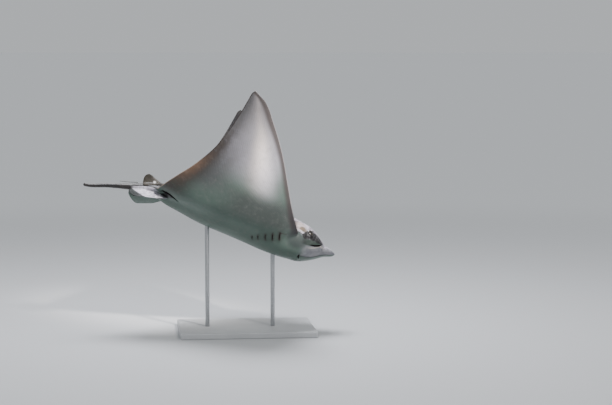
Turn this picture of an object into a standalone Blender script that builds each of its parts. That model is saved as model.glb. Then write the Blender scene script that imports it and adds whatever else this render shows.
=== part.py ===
"""Spotted eagle ray, life size, swimming nose-down with both wings raised, on a plain display stand.

Every form is worked out in a flat rest shape and then bent into the swimming pose. In the rest
shape x runs back from just behind the tip of the snout, y runs out from the midline and z runs
up, all as fractions of the disc width. The row frame is in metres, +X along the heading and +Z
up, with its origin at the middle of the stand's underside.
"""

import bmesh
import bpy
import numpy as np
from mathutils import Euler, Vector

# Driving dimensions, in metres.
DISC_WIDTH = 1.20
GAP = 0.0003
SNOUT_TIP = (0.327, -0.021, 0.290)
BASE_LENGTH, BASE_WIDTH, BASE_THICKNESS = 0.50, 0.36, 0.022
BASE_CORNER, BASE_CORNER_STEPS = 0.004, 2
ROD_RADIUS = 0.008
ROD_SOCKET_DEPTH = 0.014
EYE_SOCKET_CLEARANCE = 1.2 * GAP

# Pose, in degrees.
PITCH = 20.4
TAIL_PITCH = 3.4
BANK = 7.1
WING_RISE_ROOT = 39.0
WING_RISE_TIP = 72.0
WING_TWIST, WING_TWIST_CENTRE = 0.13, 0.35
PELVIC_DROOP = {"left": 46.0, "right": 33.0}

# Where the pose changes, as fractions of the disc width.
WING_BEND_END = 0.133
WING_SWEEP = 0.049
TAIL_BEND_START, TAIL_BEND_END = 0.552, 0.640
HEAD_STIFF_START, HEAD_STIFF_END = 0.04, 0.15

# Stations along the body, as fractions of the disc width.
CROWN_FRONT = 0.028
LOBE_CUT = 0.048
LOBE_FRONT, LOBE_REAR = -0.004, 0.105
LOBE_KEEL = 0.35
LOBE_TOP_ROUNDING, LOBE_UNDER_ROUNDING = 0.42, 0.35
TAIL_START = 0.655
TAIL_END = 0.809
NEAR_TAIL_END = 0.695
WING_TIP = 0.500
WING_THICKNESS = 0.039
WING_TAPER = 1.25
EDGE_THICKNESS = 0.0011
EDGE_SQUARENESS = 12
FILLET, FILLET_START = 0.016, 0.12
SNOUT_ROUNDING, CROWN_ROUNDING, TAIL_ROUNDING = 0.02, 0.012, 0.005
HEAD_SECTION, TAIL_SECTION = (0.11, 0.24), (0.52, 0.60)
SECTION_POWER, HEAD_FULLNESS, END_ROUNDNESS = 2, 0.6, 1.5
SLOPE_OUTSIDE = 0.05
EYE = (0.0990, 0.0606, 0.0230)
EYE_RADIUS = 0.0145
FIN_EDGE_THICKNESS = 0.0010
DORSAL_FRONT, DORSAL_REAR = 0.566, 0.627
DORSAL_ROOT_THICKNESS = 0.0035
DORSAL_LEAST_HEIGHT = 0.002
PELVIC_FRONT, PELVIC_REAR, PELVIC_WIDTH = 0.522, 0.664, 0.070
PELVIC_SWEEP, PELVIC_REAR_BULGE, PELVIC_CORNER = 0.050, 0.006, 0.010
PELVIC_FRONT_TAPER, PELVIC_END_TAPER = 0.30, 0.6
PELVIC_ROOT_THICKNESS = 0.0040
PELVIC_ROOT_OUT, PELVIC_ROOT_DOWN = 0.45, 0.30
SPINE_FRONT, SPINE_REAR = 0.642, 0.698
SPINE_WIDTH, SPINE_THICKNESS, SPINE_CLEARANCE, SPINE_LIFT = 0.0032, 0.0012, 0.0030, 0.0045
SPINE_TAPER, SPINE_EDGE_THINNING = 0.5, 0.8
ROD_STATIONS = (0.180, 0.400)
ROOT_GUESS = 0.10
WING_EDGE_INSET = 2e-4
SLAB_SIZE = 0.2

# Numbers of segments, and how much they crowd towards the front of the bill and the end of the tail.
CHORD_STEPS, SPAN_STEPS, TRUNK_STEPS = 20, 18, 12
SECTION_STEPS, HEAD_STEPS, LOBE_STEPS = 10, 12, 14
TAIL_BASE_STEPS, TAIL_STEPS, NEAR_TAIL_STEPS = 8, 12, 10
BALL_STEPS, ROD_STEPS = (16, 10), 24
PELVIC_STEPS, DORSAL_STEPS, SPINE_STEPS = (12, 7), (12, 4), (8, 4)
LOBE_CROWDING, TAIL_CROWDING = 1.5, 0.7
INTEGRAL_POINTS, ROOT_ROUNDS = 12, 40
ROD_SHARP_ANGLE = 40.0


def smooth(start, end, x):
    """Smooth step from 0 at start to 1 at end."""
    t = np.clip((np.asarray(x, float) - start) / (end - start), 0, 1)
    return t * t * (3 - 2 * t)


def curve(*knots):
    """Monotone cubic through (x, y) knots, level beyond them."""
    x, y = np.array(knots, float).T
    step = np.diff(x)
    rise = np.diff(y) / step
    slope = np.zeros(len(x))
    slope[0], slope[-1] = rise[0], rise[-1]
    for i in range(1, len(x) - 1):
        if rise[i - 1] * rise[i] > 0:
            a, b = 2 * step[i] + step[i - 1], step[i] + 2 * step[i - 1]
            slope[i] = (a + b) / (a / rise[i - 1] + b / rise[i])

    def value(at):
        at = np.clip(np.asarray(at, float), x[0], x[-1])
        i = np.clip(np.searchsorted(x, at) - 1, 0, len(step) - 1)
        t = (at - x[i]) / step[i]
        ends = (1 + 2 * t) * (1 - t) ** 2 * y[i] + t * t * (3 - 2 * t) * y[i + 1]
        return ends + step[i] * (t * (1 - t) ** 2 * slope[i] + t * t * (t - 1) * slope[i + 1])

    return value


# Outlines seen from above: the wing's two edges by distance from the midline, then the width of
# the body and of the line where the wing leaves it, by distance from the snout.
leading_edge = curve((0.0, 0.094), (0.085, 0.132), (0.15, 0.166), (0.25, 0.215), (0.35, 0.267),
                     (0.43, 0.321), (0.48, 0.362), (0.5, 0.400))
trailing_edge = curve((0.0, 0.590), (0.055, 0.581), (0.10, 0.565), (0.15, 0.538), (0.20, 0.507),
                      (0.30, 0.457), (0.40, 0.427), (0.47, 0.412), (0.49, 0.4075), (0.5, 0.400))
body_width = curve((0.030, 0.030), (0.045, 0.052), (0.07, 0.068), (0.10, 0.080), (0.14, 0.088),
                   (0.22, 0.105), (0.34, 0.108), (0.46, 0.080), (0.545, 0.045), (0.60, 0.024),
                   (0.66, 0.0105), (0.82, 0.0062))
wing_root = curve((0.12, 0.085), (0.22, 0.100), (0.34, 0.102), (0.46, 0.078), (0.57, 0.040))
lobe_width = curve((-0.004, 0.0), (0.0, 0.017), (0.010, 0.030), (0.035, 0.044), (0.07, 0.050),
                   (0.105, 0.052))

# Profiles seen from the side, above and below the rest plane.
body_top = curve((0.030, 0.008), (0.05, 0.023), (0.08, 0.044), (0.11, 0.055), (0.16, 0.061),
                 (0.25, 0.074), (0.33, 0.075), (0.43, 0.058), (0.54, 0.028), (0.60, 0.0160),
                 (0.66, 0.0112), (0.82, 0.0058))
body_bottom = curve((0.030, 0.018), (0.05, 0.034), (0.08, 0.052), (0.105, 0.062), (0.19, 0.0645),
                    (0.30, 0.057), (0.42, 0.0505), (0.50, 0.0380), (0.56, 0.0280), (0.60, 0.0165),
                    (0.66, 0.0075), (0.82, 0.0036))
lobe_top = curve((-0.004, -0.002), (0.002, 0.0035), (0.015, 0.0085), (0.036, 0.0115),
                 (0.06, 0.006), (0.105, -0.016))
lobe_bottom = curve((-0.004, -0.002), (0.0005, -0.0085), (0.029, -0.022), (0.069, -0.046),
                    (0.105, -0.061))
dorsal_rise = curve((0.566, 0.0), (0.580, 0.0072), (0.594, 0.0174), (0.604, 0.0262),
                    (0.6116, 0.0300), (0.619, 0.0272), (0.6245, 0.0190), (0.6270, 0.0060))


def half_width(x):
    """Half width of head, trunk and tail at station x, rounded off at both ends."""
    front = np.clip((x - CROWN_FRONT) / SNOUT_ROUNDING, 0, 1)
    rear = np.clip((TAIL_END - x) / TAIL_ROUNDING, 0, 1)
    return body_width(x) * np.sqrt(front * (1 - (1 - rear) ** 2))


def aerofoil(chord):
    """Half thickness of a symmetric wing section, 1 at its thickest."""
    c = np.clip(chord, 0, 1)
    return 10 * (0.2969 * np.sqrt(c) - 0.1260 * c - 0.3516 * c**2 + 0.2843 * c**3 - 0.1036 * c**4)


def body_height(x, y, side):
    """Height of the head, trunk and tail alone; side is 1 above and -1 below."""
    q = np.abs(y) / np.maximum(half_width(x), 1e-5)
    profile = (body_top if side > 0 else body_bottom)(x)
    front = np.clip((x - CROWN_FRONT) / CROWN_ROUNDING, 0, 1)
    rear = np.clip((TAIL_END - x) / TAIL_ROUNDING, 0, 1)
    profile = profile * np.sqrt(front * (1 - (1 - rear) ** 2))
    head = 1 - smooth(*HEAD_SECTION, x)
    round_ends = np.maximum(head, smooth(*TAIL_SECTION, x))
    section = np.clip(1 - np.minimum(q, 1) ** (SECTION_POWER + HEAD_FULLNESS * head), 0, 1)
    section = section ** (SECTION_POWER - END_ROUNDNESS * round_ends)
    return np.where(q < 1, profile * section, -(q - 1) * SLOPE_OUTSIDE)


def height(x, y, side):
    """Signed height of the whole rest shape, wings filleted into the body."""
    body = body_height(x, y, side)
    front, rear = leading_edge(np.abs(y)), trailing_edge(np.abs(y))
    chord = (x - front) / np.maximum(rear - front, 1e-6)
    inside = (chord > 0) & (chord < 1) & (np.abs(y) <= WING_TIP)
    c = np.clip(chord, 0, 1)
    edge = EDGE_THICKNESS * np.sqrt(np.clip(1 - np.abs(2 * c - 1) ** EDGE_SQUARENESS, 0, 1))
    taper = (1 - np.clip(np.abs(y) / WING_TIP, 0, 1)) ** WING_TAPER
    wing = WING_THICKNESS * taper * aerofoil(c) + edge
    blend = FILLET * smooth(0, FILLET_START, c) * smooth(0, FILLET_START, 1 - c)
    joined = 0.5 * (body + wing + np.sqrt((body - wing) ** 2 + blend**2))
    return side * np.maximum(np.where(inside, joined, body), 0)


def wing_angle(y, x):
    """Upward slope of the wing at distance y from the midline."""
    half = WING_BEND_END / 2
    outer = np.clip((y - half) / (WING_TIP - half), 0, 1)
    angle = WING_RISE_ROOT * smooth(0, WING_BEND_END, y) + (WING_RISE_TIP - WING_RISE_ROOT) * outer
    twisted = angle * (1 + WING_TWIST * (x - WING_TWIST_CENTRE))
    return np.radians(twisted) * smooth(HEAD_STIFF_START, HEAD_STIFF_END, x)


def body_angle(x):
    """Downward slope of the body axis at station x."""
    return np.radians(PITCH + (TAIL_PITCH - PITCH) * smooth(TAIL_BEND_START, TAIL_BEND_END, x))


def integrate(function, end):
    """Integral of function from 0 to end, by Gauss's rule."""
    nodes, weights = np.polynomial.legendre.leggauss(INTEGRAL_POINTS)
    return sum(w / 2 * end * function(end * (n + 1) / 2) for n, w in zip(nodes, weights))


def place(x, y, z):
    """Bend rest-shape points into the pose, in the row frame; the ray's left side has y > 0."""
    x, y, z = np.broadcast_arrays(*(np.asarray(v, float) for v in (x, y, z)))
    side, y = np.where(y < 0, -1.0, 1.0), np.abs(y)
    x = x + WING_SWEEP * y**2
    slope = wing_angle(y, x)
    across = integrate(lambda t: np.cos(wing_angle(t, x)), y) - z * np.sin(slope)
    up = integrate(lambda t: np.sin(wing_angle(t, x)), y) + z * np.cos(slope)
    nose = body_angle(x)
    ahead = -integrate(lambda t: np.cos(body_angle(t)), x) + up * np.sin(nose)
    above = integrate(lambda t: np.sin(body_angle(t)), x) + up * np.cos(nose)
    bank = np.radians(BANK)
    lateral = side * across * np.cos(bank) + above * np.sin(bank)
    above = above * np.cos(bank) - side * across * np.sin(bank)
    return np.stack([ahead, lateral, above], -1) * DISC_WIDTH + SNOUT_TIP


def turn_at(station):
    """Rotation of a rigid piece at the given station of the body."""
    pitch = Euler((0, float(body_angle(station)), 0)).to_matrix()
    bank = Euler((-np.radians(BANK), 0, 0)).to_matrix()
    return bank @ pitch


def clear_scene():
    for item in list(bpy.data.objects):
        bpy.data.objects.remove(item)


def collection(name):
    group = bpy.data.collections.new(name)
    bpy.context.scene.collection.children.link(group)
    return group


def material(name, colour, roughness, metallic=0.0):
    paint = bpy.data.materials.new(name)
    paint.use_nodes = True
    shader = paint.node_tree.nodes["Principled BSDF"]
    shader.inputs["Base Color"].default_value = (*colour, 1)
    shader.inputs["Roughness"].default_value = roughness
    shader.inputs["Metallic"].default_value = metallic
    paint.diffuse_color = (*colour, 1)
    return paint


def add_object(name, mesh, group, paint=None, flat=False):
    item = bpy.data.objects.new(name, mesh)
    group.objects.link(item)
    if paint:
        mesh.materials.append(paint)
    if not flat:
        mesh.shade_smooth()
    return item


def finish_mesh(shell, name):
    mesh = bpy.data.meshes.new(name)
    shell.to_mesh(mesh)
    shell.free()
    return mesh


def loft(name, upper, lower, group, paint=None):
    """Closed solid between two sheets of points, [rows, columns, 3] each, joined along their rims."""
    rows, columns = upper.shape[:2]
    number = np.arange(rows * columns).reshape(rows, columns)
    below = number + rows * columns
    faces = []
    for i in range(rows - 1):
        for j in range(columns - 1):
            ring = (number[i, j], number[i + 1, j], number[i + 1, j + 1], number[i, j + 1])
            faces.append(ring)
            faces.append(tuple(index + rows * columns for index in reversed(ring)))
    for edge, down in ((number[:, 0], below[:, 0]), (number[:, -1], below[:, -1]),
                       (number[0], below[0]), (number[-1], below[-1])):
        for k in range(len(edge) - 1):
            faces.append((edge[k], edge[k + 1], down[k + 1]))
            faces.append((edge[k], down[k + 1], down[k]))
    points = np.concatenate([upper.reshape(-1, 3), lower.reshape(-1, 3)])
    shell = bmesh.new()
    corners = [shell.verts.new(point) for point in points]
    for face in faces:
        shell.faces.new([corners[index] for index in face])
    bmesh.ops.remove_doubles(shell, verts=shell.verts, dist=1e-5)
    bmesh.ops.dissolve_degenerate(shell, edges=shell.edges, dist=1e-6)
    bmesh.ops.triangulate(shell, faces=shell.faces)
    bmesh.ops.recalc_face_normals(shell, faces=shell.faces)
    return add_object(name, finish_mesh(shell, name), group, paint)


def chord_stations():
    """Chord fractions of the wing grid, closer together near both edges."""
    return (1 - np.cos(np.linspace(0, np.pi, CHORD_STEPS + 1))) / 2


def root_stations():
    """Stations where the wing's chord fractions meet the root line."""
    chord, y = chord_stations(), ROOT_GUESS
    for _ in range(ROOT_ROUNDS):
        x = leading_edge(y) + (trailing_edge(y) - leading_edge(y)) * chord
        y = wing_root(x)
    return x


ROOT = root_stations()
NECK, RUMP = ROOT[0], ROOT[-1]
HALF_GAP = GAP / 2 / DISC_WIDTH


def sheets(x, y, grow=0.0):
    """Upper and lower sheets of the whole rest shape over a grid in plan, placed in the pose."""
    return [place(x, y, height(x, y, side) + side * grow) for side in (1, -1)]


def make_wing(name, side, group, paint=None, grow=0.0):
    chord = chord_stations()[:, None]
    even = np.linspace(0, 1, SPAN_STEPS + 1)[None, :]
    span = even / 2 + (1 - np.cos(np.pi * even)) / 4
    root = wing_root(ROOT)[:, None] + HALF_GAP
    y = root + (WING_TIP - root) * span
    front, rear = leading_edge(y), trailing_edge(y)
    x = front + (rear - front) * np.clip(chord, WING_EDGE_INSET, 1 - WING_EDGE_INSET)
    inner = (span < 1e-9) * (ROOT[:, None] - x)
    return loft(name, *sheets(x + inner, side * y, grow), group, paint)


def make_trunk(name, group, paint=None, grow=0.0):
    x = np.clip(ROOT, NECK + HALF_GAP, RUMP - HALF_GAP + grow)[:, None]
    y = (wing_root(ROOT)[:, None] - HALF_GAP + grow) * np.linspace(-1, 1, TRUNK_STEPS + 1)[None, :]
    return loft(name, *sheets(x + 0 * y, y, grow), group, paint)


def make_core(name, start, end, steps, group, paint=None, grow=0.0):
    """Length of the head or tail with nothing but the body's own section."""
    x = np.linspace(0, 1, steps + 1)[:, None] ** (1 if end < TAIL_END else TAIL_CROWDING)
    x = start + (end - start) * x
    across = np.sin(np.linspace(-np.pi / 2, np.pi / 2, SECTION_STEPS + 1))[None, :]
    y = half_width(x) * across
    upper, lower = (place(x + 0 * y, y + 2 * grow * across,
                          side * np.maximum(body_height(x + 0 * y, y, side) + grow, 0))
                    for side in (1, -1))
    return loft(name, upper, lower, group, paint)


def make_lobe_form(group):
    """The flat bill below the forehead, reaching back under the head; its rim is a low keel."""
    along = np.linspace(0, 1, LOBE_STEPS + 1)[:, None] ** LOBE_CROWDING
    x = LOBE_FRONT + (LOBE_REAR - LOBE_FRONT) * along
    across = np.sin(np.linspace(-np.pi / 2, np.pi / 2, SECTION_STEPS + 1))[None, :]
    y = lobe_width(x) * across
    keel = lobe_bottom(x) + LOBE_KEEL * (lobe_top(x) - lobe_bottom(x))
    inward = np.clip(1 - across**2, 0, 1)
    upper = place(x + 0 * y, y, keel + (lobe_top(x) - keel) * inward**LOBE_TOP_ROUNDING)
    lower = place(x + 0 * y, y, keel - (keel - lobe_bottom(x)) * inward**LOBE_UNDER_ROUNDING)
    return loft("lobe_form", upper, lower, group)


def boolean(item, operation, cutter):
    change = item.modifiers.new(cutter.name, "BOOLEAN")
    change.operation = operation
    change.object = cutter
    cutter.hide_render = True
    cutter.display_type = "WIRE"


def slab(name, station, ahead, group):
    """Block that covers all in front of a station, or all behind it, and half the gap beyond."""
    length = SLAB_SIZE * DISC_WIDTH
    shell = bmesh.new()
    bmesh.ops.create_cube(shell, size=length)
    block = add_object(name, finish_mesh(shell, name), group)
    turn = turn_at(station)
    shift = (length / 2 - GAP / 2) * (1 if ahead else -1)
    block.rotation_euler = turn.to_euler()
    block.location = Vector(place(station, 0.0, 0.0)) + turn @ Vector((shift, 0, 0))
    return block


def ball(name, centre, radius, group, paint=None):
    shell = bmesh.new()
    bmesh.ops.create_uvsphere(shell, u_segments=BALL_STEPS[0], v_segments=BALL_STEPS[1],
                              radius=radius)
    item = add_object(name, finish_mesh(shell, name), group, paint)
    item.location = centre
    return item


def make_head(group, cutters, skin, eye_paint):
    """Crown and bill made as one, then parted across the bill, with a socket for each eye."""
    lobe = make_lobe_form(cutters)
    for name, ahead in (("head", True), ("rostral_lobe", False)):
        piece = make_core(name, CROWN_FRONT, NECK - HALF_GAP, HEAD_STEPS, group, skin)
        boolean(piece, "UNION", lobe)
        boolean(piece, "DIFFERENCE", slab(f"{name}_cut", LOBE_CUT, ahead, cutters))
        if ahead:
            head = piece
    radius = EYE_RADIUS * DISC_WIDTH
    for name, side in (("left", 1), ("right", -1)):
        centre = place(EYE[0], side * EYE[1], EYE[2])
        ball(f"eye_{name}", centre, radius, group, eye_paint)
        boolean(head, "DIFFERENCE", ball(f"socket_{name}", centre, radius + EYE_SOCKET_CLEARANCE, cutters))


def make_pelvic_fin(name, side, bodies, group, paint):
    """Rounded flap beside the tail root, drooping from the belly; what would lie in the body is cut off."""
    along = np.linspace(0, 1, PELVIC_STEPS[0] + 1)[:, None]
    out = np.linspace(0, 1, PELVIC_STEPS[1] + 1)[None, :]
    front = PELVIC_FRONT + PELVIC_SWEEP * out
    rear = PELVIC_REAR + PELVIC_REAR_BULGE * np.sin(np.pi * out) - PELVIC_CORNER * out**3
    x = front + (rear - front) * along
    reach = (PELVIC_WIDTH * out * (1 - PELVIC_FRONT_TAPER * (1 - along) ** 2)
             * np.sqrt(1 - PELVIC_END_TAPER * (2 * along - 1) ** 8))
    thick = FIN_EDGE_THICKNESS + PELVIC_ROOT_THICKNESS * (1 - out) * np.sin(np.pi * along) ** 0.5
    droop = np.radians(PELVIC_DROOP[name.split("_")[-1]])
    y = PELVIC_ROOT_OUT * half_width(x) + reach * np.cos(droop)
    z = -PELVIC_ROOT_DOWN * body_bottom(x) - reach * np.sin(droop)
    upper, lower = (place(x, side * (y + s * thick * np.sin(droop)), z + s * thick * np.cos(droop))
                    for s in (1, -1))
    fin = loft(name, upper, lower, group, paint)
    for body in bodies:
        boolean(fin, "DIFFERENCE", body)


def make_dorsal_fin(group, paint):
    """Small upright fin on the tail root: long sloping front, round top, steep rear."""
    along = np.linspace(0, 1, DORSAL_STEPS[0] + 1)[:, None]
    up = np.linspace(0, 1, DORSAL_STEPS[1] + 1)[None, :]
    crowded = along + np.sin(np.pi * along) / (2 * np.pi)
    x = DORSAL_FRONT + (DORSAL_REAR - DORSAL_FRONT) * crowded + 0 * up
    rise = np.maximum(dorsal_rise(x), DORSAL_LEAST_HEIGHT) * up
    thick = FIN_EDGE_THICKNESS + DORSAL_ROOT_THICKNESS * (1 - up) * np.sin(np.pi * along) ** 0.5
    foot = height(x, 0 * x, 1) + 2 * HALF_GAP
    left, right = (place(x, s * thick, foot + rise) for s in (1, -1))
    return loft("dorsal_fin", left, right, group, paint)


def make_tail_spine(group, paint):
    """Flat barbed spine lying just clear of the tail's upper side, point to the rear."""
    along = np.linspace(0, 1, SPINE_STEPS[0] + 1)[:, None]
    across = np.linspace(-1, 1, SPINE_STEPS[1] + 1)[None, :]
    x = SPINE_FRONT + (SPINE_REAR - SPINE_FRONT) * along
    width = SPINE_WIDTH * np.sqrt(1 - along**2) + HALF_GAP
    middle = body_top(x) + SPINE_CLEARANCE + SPINE_LIFT * along**0.8
    half = (SPINE_THICKNESS * (1 - SPINE_TAPER * along)
            * np.sqrt(1 - SPINE_EDGE_THINNING * across**2))
    y = width * across
    upper, lower = (place(x + 0 * y, y, middle + s * half) for s in (1, -1))
    return loft("tail_spine", upper, lower, group, paint)


def cylinder(name, foot, length, radius, group, paint=None):
    """Upright round bar standing on the point foot."""
    shell = bmesh.new()
    bmesh.ops.create_cone(shell, cap_ends=True, segments=ROD_STEPS, radius1=radius, radius2=radius,
                          depth=length)
    item = add_object(name, finish_mesh(shell, name), group, paint)
    item.data.set_sharp_from_angle(angle=np.radians(ROD_SHARP_ANGLE))
    item.location = Vector(foot) + Vector((0, 0, length / 2))
    return item


def make_base(group, paint):
    shell = bmesh.new()
    bmesh.ops.create_cube(shell, size=1)
    bmesh.ops.scale(shell, vec=(BASE_LENGTH, BASE_WIDTH, BASE_THICKNESS), verts=shell.verts)
    base = add_object("stand_base", finish_mesh(shell, "stand_base"), group, paint, flat=True)
    base.location = (0, 0, BASE_THICKNESS / 2)
    bevel = base.modifiers.new("Rounded edges", "BEVEL")
    bevel.width = BASE_CORNER
    bevel.segments = BASE_CORNER_STEPS


def make_rod(name, station, trunk, group, cutters, paint):
    """Rod from the base up into a blind socket in the belly."""
    belly = place(station, 0.0, -body_bottom(station))
    top = belly[2] + ROD_SOCKET_DEPTH
    foot = (belly[0], belly[1], BASE_THICKNESS + GAP)
    cylinder(name, foot, top - foot[2], ROD_RADIUS, group, paint)
    socket = cylinder(f"{name}_socket", foot, top - foot[2] + GAP, ROD_RADIUS + GAP, cutters)
    boolean(trunk, "DIFFERENCE", socket)


def main():
    clear_scene()
    parts, cutters = collection("spotted_eagle_ray"), collection("cutters")
    back = material("dark spotted back", (0.075, 0.075, 0.080), 0.42)
    fin = material("wing and fin", (0.30, 0.31, 0.31), 0.42)
    eye = material("eye", (0.010, 0.010, 0.012), 0.06)
    barb = material("barb", (0.06, 0.05, 0.04), 0.45)
    base = material("stand base", (0.55, 0.56, 0.57), 0.5)
    rod = material("stand rod", (0.41, 0.42, 0.43), 0.3, 1.0)

    make_head(parts, cutters, back, eye)
    trunk = make_trunk("trunk", parts, back)
    make_core("tail_base", RUMP + HALF_GAP, TAIL_START - HALF_GAP, TAIL_BASE_STEPS, parts, back)
    make_core("tail", TAIL_START + HALF_GAP, TAIL_END, TAIL_STEPS, parts, back)
    make_dorsal_fin(parts, back)
    make_tail_spine(parts, barb)
    grown = GAP / DISC_WIDTH
    near_trunk = make_trunk("near_trunk", cutters, grow=grown)
    near_tail = make_core("near_tail", RUMP - HALF_GAP, NEAR_TAIL_END, NEAR_TAIL_STEPS, cutters, grow=grown)
    for name, side in (("left", 1), ("right", -1)):
        make_wing(f"wing_{name}", side, parts, fin)
        near_wing = make_wing(f"near_wing_{name}", side, cutters, grow=grown)
        make_pelvic_fin(f"pelvic_fin_{name}", side, (near_trunk, near_tail, near_wing), parts, fin)
    make_base(parts, base)
    for name, station in zip(("front", "rear"), ROD_STATIONS):
        make_rod(f"stand_rod_{name}", station, trunk, parts, cutters, rod)


main()
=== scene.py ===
"""Visual model of the spotted eagle ray on its display stand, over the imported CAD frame."""

import math

import bpy
import bmesh
import numpy as np
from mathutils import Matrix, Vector
from mathutils.bvhtree import BVHTree


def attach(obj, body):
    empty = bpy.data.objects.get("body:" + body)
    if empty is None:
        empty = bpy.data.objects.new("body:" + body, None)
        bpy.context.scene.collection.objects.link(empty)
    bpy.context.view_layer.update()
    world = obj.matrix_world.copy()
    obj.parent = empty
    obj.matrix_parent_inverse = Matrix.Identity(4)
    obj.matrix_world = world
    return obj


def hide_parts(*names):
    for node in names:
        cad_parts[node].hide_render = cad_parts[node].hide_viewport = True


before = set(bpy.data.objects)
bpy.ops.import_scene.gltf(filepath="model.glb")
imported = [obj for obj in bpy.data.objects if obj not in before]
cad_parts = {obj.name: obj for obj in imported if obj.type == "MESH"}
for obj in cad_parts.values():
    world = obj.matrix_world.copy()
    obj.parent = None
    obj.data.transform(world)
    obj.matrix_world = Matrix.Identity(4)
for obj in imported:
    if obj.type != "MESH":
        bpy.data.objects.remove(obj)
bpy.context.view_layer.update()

# The flat rest shape and its bend into the pose, as in the CAD source. In the rest shape x runs
# back from just behind the tip of the snout, y out from the midline and z up, all as fractions of
# the disc width. Angles are in degrees.
DISC_WIDTH = 1.2
GAP = 0.0003
SNOUT_TIP = (0.327, -0.021, 0.29)
PITCH, TAIL_PITCH, BANK = 20.4, 3.4, 7.1
WING_RISE_ROOT, WING_RISE_TIP = 39, 72
WING_TWIST, WING_TWIST_CENTRE = 0.13, 0.35
WING_BEND_END, WING_SWEEP = 0.133, 0.049
TAIL_BEND, HEAD_STIFF = (0.552, 0.64), (0.04, 0.15)
CROWN_FRONT, LOBE_FRONT, LOBE_REAR, LOBE_KEEL = 0.028, -0.004, 0.105, 0.35
LOBE_TOP_ROUNDING, LOBE_UNDER_ROUNDING = 0.42, 0.35
TAIL_END, WING_TIP = 0.809, 0.5
WING_THICKNESS, WING_TAPER = 0.039, 1.25
EDGE_THICKNESS, EDGE_SQUARENESS = 0.0011, 12
FILLET, FILLET_START = 0.016, 0.12
SNOUT_ROUNDING, CROWN_ROUNDING, TAIL_ROUNDING = 0.02, 0.012, 0.005
HEAD_SECTION, TAIL_SECTION = (0.11, 0.24), (0.52, 0.6)
SECTION_POWER, HEAD_FULLNESS, END_ROUNDNESS = 2, 0.6, 1.5
SLOPE_OUTSIDE = 0.05
INTEGRAL_POINTS = 12

# Eyes, fins and spine.
EYE, EYE_RADIUS = (0.099, 0.0606, 0.023), 0.0145
EYE_AXIS = np.array((-0.3, 0.82, 0.48)) / np.linalg.norm((-0.3, 0.82, 0.48))
FIN_EDGE_THICKNESS = 0.001
DORSAL_FRONT, DORSAL_REAR = 0.566, 0.627
DORSAL_ROOT_THICKNESS, DORSAL_LEAST_HEIGHT, DORSAL_FLARE = 0.0035, 0.004, 0.006
PELVIC_DROOP = {"left": 46, "right": 33}
PELVIC_FRONT, PELVIC_REAR, PELVIC_WIDTH = 0.522, 0.664, 0.07
PELVIC_SWEEP, PELVIC_REAR_BULGE, PELVIC_CORNER = 0.05, 0.006, 0.01
PELVIC_FRONT_TAPER, PELVIC_END_TAPER = 0.3, 0.6
PELVIC_ROOT_THICKNESS, PELVIC_ROOT_OUT, PELVIC_ROOT_DOWN = 0.004, 0.45, 0.3
SPINE_FRONT, SPINE_REAR = 0.642, 0.698
SPINE_WIDTH, SPINE_THICKNESS, SPINE_CLEARANCE, SPINE_LIFT = 0.0032, 0.0012, 0.003, 0.0045
BARBS, BARB_WIDTH = 22, 0.00055

# Openings: the middle of the spiracle, the mouth's arc, and the inner and the outer end of each
# gill slit in plan, nearest the head first.
SPIRACLE = (0.146, 0.048)
MOUTH_MIDDLE, MOUTH_BOW, MOUTH_HALF_WIDTH, LIP_HALF_WIDTH = 0.114, 0.006, 0.038, 0.046
GILL_SLITS = (((0.1815, 0.0745), (0.1868, 0.096)), ((0.2005, 0.066), (0.2068, 0.0868)),
              ((0.2205, 0.0575), (0.2265, 0.0765)), ((0.2412, 0.049), (0.2462, 0.064)),
              ((0.2575, 0.042), (0.2612, 0.053)))
GILL_BOW = 0.0011

# Segments of the skin.
ROWS, HALF_COLUMNS, SPAN_COLUMNS = 220, 70, 130
HEAD_ROWS, TAIL_ROWS = 180, 120
SHARP_ANGLE = 52

# Studio: floor, and the camera's view in degrees, disc widths and millimetres.
FLOOR_REACH = 400
CAMERA_TURN, CAMERA_TILT, CAMERA_DISTANCE, CAMERA_LENS = 6.2, 5, 5.48, 103.73
CAMERA_ASIDE, CAMERA_ABOVE = 0.0864, -0.1588


def smooth(start, end, x):
    """Smooth step from 0 at start to 1 at end."""
    t = np.clip((x - start) / (end - start), 0, 1)
    return t * t * (3 - 2 * t)


def bump(x, centre, width):
    """Bell curve, 1 at the centre."""
    return np.exp(-((x - centre) / width) ** 2)


def curve(*knots):
    """Monotone cubic through (x, y) knots, level beyond them."""
    x, y = np.array(knots, float).T
    step = np.diff(x)
    rise = np.diff(y) / step
    slope = np.zeros(len(x))
    slope[0], slope[-1] = rise[0], rise[-1]
    for i in range(1, len(x) - 1):
        if rise[i - 1] * rise[i] > 0:
            a, b = 2 * step[i] + step[i - 1], step[i] + 2 * step[i - 1]
            slope[i] = (a + b) / (a / rise[i - 1] + b / rise[i])

    def value(at):
        at = np.clip(at, x[0], x[-1])
        i = np.clip(np.searchsorted(x, at) - 1, 0, len(step) - 1)
        t = (at - x[i]) / step[i]
        ends = (1 + 2 * t) * (1 - t) ** 2 * y[i] + t * t * (3 - 2 * t) * y[i + 1]
        return ends + step[i] * (t * (1 - t) ** 2 * slope[i] + t * t * (t - 1) * slope[i + 1])

    return value


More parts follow.
